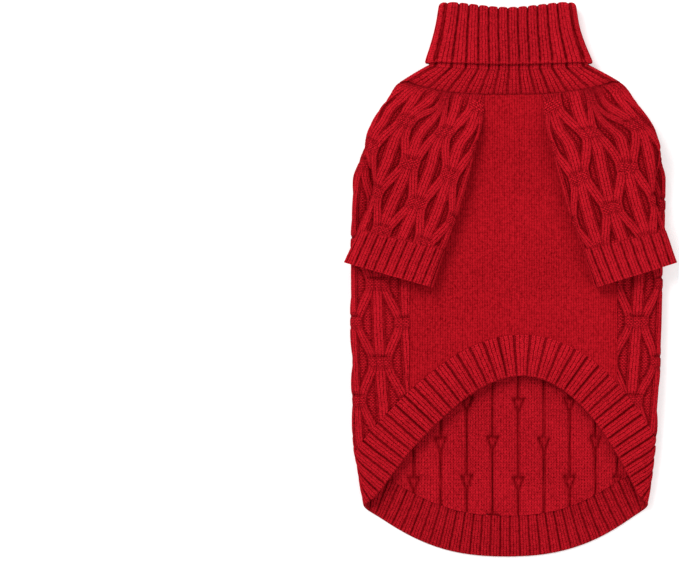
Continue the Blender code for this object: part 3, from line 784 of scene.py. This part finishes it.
def ring_way(share, flat, radius):
    """The way round a flattened ring: each flat takes 0.44 of the share, and the fold between them 0.12."""
    share = np.abs(share)
    flats = np.clip(share / 0.44, 0, 1) + np.clip((share - 0.56) / 0.44, 0, 1)
    return flat * flats + np.pi * radius * np.clip((share - 0.44) / 0.12, 0, 1)


def neck_seam_point(share):
    """A point of the collar's seam on its outer face, with the way inwards."""
    y = np.full_like(share, NECK_SEAM_SIDE)
    for _ in range(30):
        u = np.sign(share) * ring_way(share, *body_row(y))
        y = neck_seam(u)
    return body_surface(u, y)


def ring_point(share, half_width, half_height, y):
    """A point of the flattened neck tube. share runs from -1 to 1, both at the belly's middle."""
    flat = half_width - half_height
    way = ring_way(share, flat, half_height)
    turn = np.clip((way - flat) / half_height, 0, np.pi)
    over = np.clip(way - flat - np.pi * half_height, 0, None)
    across = np.minimum(way, flat) + half_height * np.sin(turn) - over
    middle_z = RIB_WALL * 2 + COLLAR_GAP + NECK_HOLLOW / 2
    return np.stack([COLLAR_MIDDLE + np.sign(share) * across, y, middle_z - half_height * np.cos(turn)], -1)


COLLAR_PARTS = (0.2, 0.5, 0.56)  # shares of the way along at which the yoke, the stand and the turn end


def collar_points(across, along):
    """The collar's inner face, which is turned out at the top: yoke, stand, turn and turned-down part."""
    share = ((across + 1) * (1 - 0.0008) + 0.93) % 2 - 1
    bend = RIB_WALL + COLLAR_GAP / 2
    foot, top, edge = (by_side(table, share) for table in (STAND_FOOT, TURN_TOP, TURN_EDGE))
    yoke, stand, turn = COLLAR_PARTS
    up = np.clip((along - yoke) / (stand - yoke), 0, 1)
    bent = np.clip((along - stand) / (turn - stand), 0, 1) * np.pi
    down = np.clip((along - turn) / (1 - turn), 0, 1)
    y = foot + (top - bend - foot) * up + bend * np.sin(bent) - (top - bend - edge) * down
    out = bend * (1 - np.cos(bent))
    half_width = read(COLLAR, "half_width", y, COLLAR_REACH) - 2 * bend + out
    ring = ring_point(share, half_width, NECK_HOLLOW / 2 + out, y)
    ring[:, 0] += COLLAR_LEAN * eased((400 - y) / 30.0)
    flare = 1 - eased(along / yoke)[:, None]
    seam, inward = neck_seam_point(share)
    return ring + (seam + RIB_WALL * inward - ring) * flare, inward, flare, share


COLLAR_RIBS = 26
COLLAR_PITCH = 8.05


def collar_form(across, along, inside):
    point, inward, flare, share = collar_points(across, along)
    step = 0.002
    left, right = (collar_points(across + k, along)[0] for k in (-step, step))
    low, high = (collar_points(across, np.clip(along + k, 0, 1))[0] for k in (-step, step))
    normal = np.cross(right - left, high - low)
    normal = normal / np.linalg.norm(normal, axis=1)[:, None]
    normal = normal + (inward - normal) * flare
    out = -normal / np.linalg.norm(normal, axis=1)[:, None]
    way = along * COURSES_LENGTH
    half_width = read(COLLAR, "half_width", point[:, 1], COLLAR_REACH)
    round_half = 2 * half_width + 4.0
    from_belly = (1 - np.abs(share)) * round_half
    slack = round_half / COLLAR_PITCH - COLLAR_RIBS / 2
    ribs = from_belly / COLLAR_PITCH - slack * eased((from_belly / round_half - 0.13) / 0.74)
    ribs = ribs * np.sign(share) + 0.5
    height, wale, course = rib_relief(ribs, way)
    back_height, back_wale, _ = rib_relief(ribs + 0.5, way)
    from_edge = (1 - along) * EDGE_SCALE
    edge = eased((from_edge - 0.8) / 3.0)  # the cast-off edge closes the grooves
    at_side = eased((from_belly / round_half - 0.26) / 0.14)
    # The yoke is stretched, and its ribs lie flatter towards the sides.
    soft = (0.5 + 0.36 * at_side) * flare[:, 0]
    height, back_height = (1 - (1 - h) * (0.2 + 0.8 * edge) * (1 - soft) for h in (height, back_height))
    # The laid face turns from the inside of the stand to the outside of the turned-down part; its other
    # face shows on the yoke.
    sink = np.where(inside, RIB_WALL - RIB_DEPTH * (1 - height), 0.9 * (1 - back_height))
    turned = along > COLLAR_PARTS[1]
    turned_sink = np.where(inside, RIB_WALL - 0.6 * (1 - back_height), RIB_DEPTH * (1 - height))
    sink = np.where(turned, turned_sink, sink)
    shows = inside ^ turned
    # The colour is darker in the grooves of the face that shows: painted shade.
    painted_light_share = 0.12 + 0.88 * np.where(shows, height, back_height)
    rolled = ROLL * np.clip(1 - from_edge / 1.6, 0, 1) ** 2
    sink += np.where(inside, -rolled, rolled)
    return {
        "point": point + out * sink[:, None],
        "wale": np.where(shows, wale, back_wale),
        "course": course,
        "crest": painted_light_share * (1 - 0.42 * flare[:, 0]) + 0.12 * flare[:, 0],  # the yoke is darker and more even: painted shadow of the turned-down part
        "purl": np.zeros_like(share),
    }


# The sleeves' wales: the plan direction down them, the place across of column 0, the place along of one of
# its knots, the pitch of the columns and the period of the knots.
SLEEVE_WALES = {
    -1: {"down": (-0.36, -0.93), "column": 72.2, "knot": -54.5, "pitch": 15.9, "period": 54.6},
    1: {"down": (0.29, -0.957), "column": 68.5, "knot": -58.0, "pitch": 17.0, "period": 56.0},
}
SLEEVE_PULL = 0.27
SLEEVE_RIBS = (4.6, 3.8)
SLEEVE_KNOT_BAR = (0.4, 0.06, 0.4)
CUFF_PITCH = 7.4


def sleeve_form(side, first_row, last_row, gap, wall):
    def form(across, along, inside):
        row = first_row + (last_row - first_row) * along
        outer, inward, from_middle = sleeve_point(across, row, side)
        knit = SLEEVE_WALES[side]
        down = np.array(knit["down"])
        over = np.array([-down[1], down[0]]) * side
        inner_fold, outer_fold = sleeve_folds(row, side)
        way = (outer_fold - inner_fold) / np.linalg.norm(outer_fold - inner_fold, axis=1)[:, None]
        middle = (inner_fold + outer_fold) / 2 - [INNER_SHIFT / 2 + 1.3, 208.0]
        place = middle + way * from_middle[:, None]
        c, t = place @ over, place @ down
        c = c + 26.0 * eased((c - 88) / 18.0) * eased((-79 - t) / 45.0)  # wales lean outwards at the shoulder
        c, t = (
            c + 0.8 * np.sin(t / 15.0 + c / 21.0),
            t + 1.8 * np.sin(c / 11.0 + 0.6) + 1.2 * np.sin(t / 19.0),
        )
        # The crest of the pattern and of the cuff's ribs darkens the colour in hollows and grooves: painted
        # shade.
        if first_row < CUFF_ROW:
            height, wale, course, purl, crest = lantern_relief(
                (c - knit["column"]) / knit["pitch"], knit["knot"] - t, knit["pitch"], knit["period"],
                SLEEVE_PULL, SLEEVE_RIBS, SLEEVE_KNOT_BAR)
            calm = eased(row / 0.6) * eased((CUFF_ROW - row) / 0.1)  # the relief grows from the seams
            purl = purl * (calm > 0.6)
            height, crest = 0.8 + (height - 0.8) * calm, 0.8 + (crest - 0.8) * calm
            depth, inner_height = SLEEVE_DEPTH, 0.6 + 0.4 * height
        else:
            height, wale, course = rib_relief(from_middle / CUFF_PITCH, (row - CUFF_ROW) * CUFF_LENGTH)
            edge = eased((OPEN_ROW - row) * CUFF_LENGTH / 2.4)
            edge = edge * (0.4 + 0.6 * eased((row - CUFF_ROW) * CUFF_LENGTH / 3.0))
            height = 1 - (1 - height) * (0.3 + 0.7 * edge)
            purl, depth, inner_height, crest = np.zeros_like(c), RIB_DEPTH, 1 - height, 0.24 + 0.76 * height
        point = shell_point(outer, inward, inside, wall, height, inner_height, depth, 0.8)
        point = point + gap * np.array([side * 0.26, -0.966, 0])
        return {"point": point, "wale": wale, "course": course, "crest": crest, "purl": purl}

    return form


def ride(piece, node):
    """Parents a piece to the root body and hides its CAD node."""
    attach(piece, "root")
    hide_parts(node)


def light(name, place, size, power):
    """A soft square lamp that faces the sweater."""
    lamp = bpy.data.lights.new(name, "AREA")
    lamp.shape = "SQUARE"
    lamp.size = size
    lamp.energy = power
    holder = bpy.data.objects.new(name, lamp)
    holder.location = place
    direction = Vector((0, 0, 0)) - Vector(place)
    holder.rotation_euler = direction.to_track_quat("-Z", "Y").to_euler()
    bpy.context.scene.collection.objects.link(holder)


VIEW_WIDTH = 509.25  # what the camera sees across, at the height VIEW_PLANE
VIEW_PLANE = 10.0
VIEW_LEFT = 125.6  # the camera stands this far to the left of the body's middle line
VIEW_UP = 0.5


def studio():
    """A pale floor, soft light from all round and a camera straight above."""
    bm = bmesh.new()
    bmesh.ops.create_grid(bm, x_segments=1, y_segments=1, size=3.0)
    mesh = bpy.data.meshes.new("floor")
    bm.to_mesh(mesh)
    bm.free()
    floor = bpy.data.objects.new("floor", mesh)
    material = bpy.data.materials.new("floor_paper")
    material.use_nodes = True
    shader = material.node_tree.nodes["Principled BSDF"]
    shader.inputs["Base Color"].default_value = (0.93, 0.93, 0.93, 1)
    shader.inputs["Roughness"].default_value = 0.9
    shader.inputs["Emission Color"].default_value = (1, 1, 1, 1)
    shader.inputs["Emission Strength"].default_value = 0.3
    mesh.materials.append(material)
    bpy.context.scene.collection.objects.link(floor)

    scene = bpy.context.scene
    world = bpy.data.worlds.new("studio")
    world.use_nodes = True
    background = world.node_tree.nodes["Background"]
    background.inputs["Color"].default_value = (1.0, 1.0, 1.0, 1.0)
    background.inputs["Strength"].default_value = 0.55
    scene.world = world
    light("key", (-0.9, 0.9, 1.5), 0.9, 22.0)
    light("fill", (1.2, -0.6, 1.6), 1.4, 10.0)
    scene.view_settings.view_transform = "Standard"

    lens = bpy.data.cameras.new("camera")
    lens.lens = 150.0
    lens.sensor_width = 36.0
    holder = bpy.data.objects.new("camera", lens)
    distance = VIEW_WIDTH * MM * lens.lens / lens.sensor_width
    holder.location = ((SHIFT[0] - VIEW_LEFT) * MM, VIEW_UP * MM, VIEW_PLANE * MM + distance)
    scene.collection.objects.link(holder)
    scene.camera = holder


KNIT = knit_group()
# From the drawing's own place, which has the hem at the bottom and the seam sizes above, to the frame's.
SHIFT = np.array([
    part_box("belly_panel")[1][0] / MM - (BELLY_SHIFT + BELLY_HALF_WIDTH - SEAM_MARGIN),
    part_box("hem_band")[0][1] / MM,
    0.0,
])


def main():
    # The second colour is a dark red of painted shade, which the knits take in their grooves and hollows.
    red, shade_red = (0.70, 0.0125, 0.0255, 1.0), (0.09, 0.0, 0.0, 1.0)
    cable = knit_material("cable_knit", red, shade_red, 1.0, 1.7, 1.0)
    plain = knit_material("plain_knit", (0.585, 0.0095, 0.019, 1.0), shade_red, 0.65, 2.6, 0.6)
    rib = knit_material("rib_knit", red, shade_red, 1.0, 1.7, 1.0)

    ride(knitted("back_panel_knit", (330, 150), back_form, cable), "back_panel")
    ride(knitted("belly_panel_knit", (90, 130), belly_form, plain), "belly_panel")
    ride(knitted("hem_band_knit", (860, 30), hem_form, rib), "hem_band")
    ride(knitted("collar_knit", (330, 120), collar_form, rib), "collar")
    for side, name in ((-1, "left"), (1, "right")):
        sleeve = sleeve_form(side, 0, CUFF_ROW, 0.0, SLEEVE_WALL)
        cuff = sleeve_form(side, CUFF_ROW, OPEN_ROW, SEAM, RIB_WALL)
        ride(knitted("sleeve_%s_knit" % name, (270, 165), sleeve, cable), "sleeve_" + name)
        ride(knitted("cuff_%s_knit" % name, (230, 30), cuff, rib), "cuff_" + name)
    studio()


main()
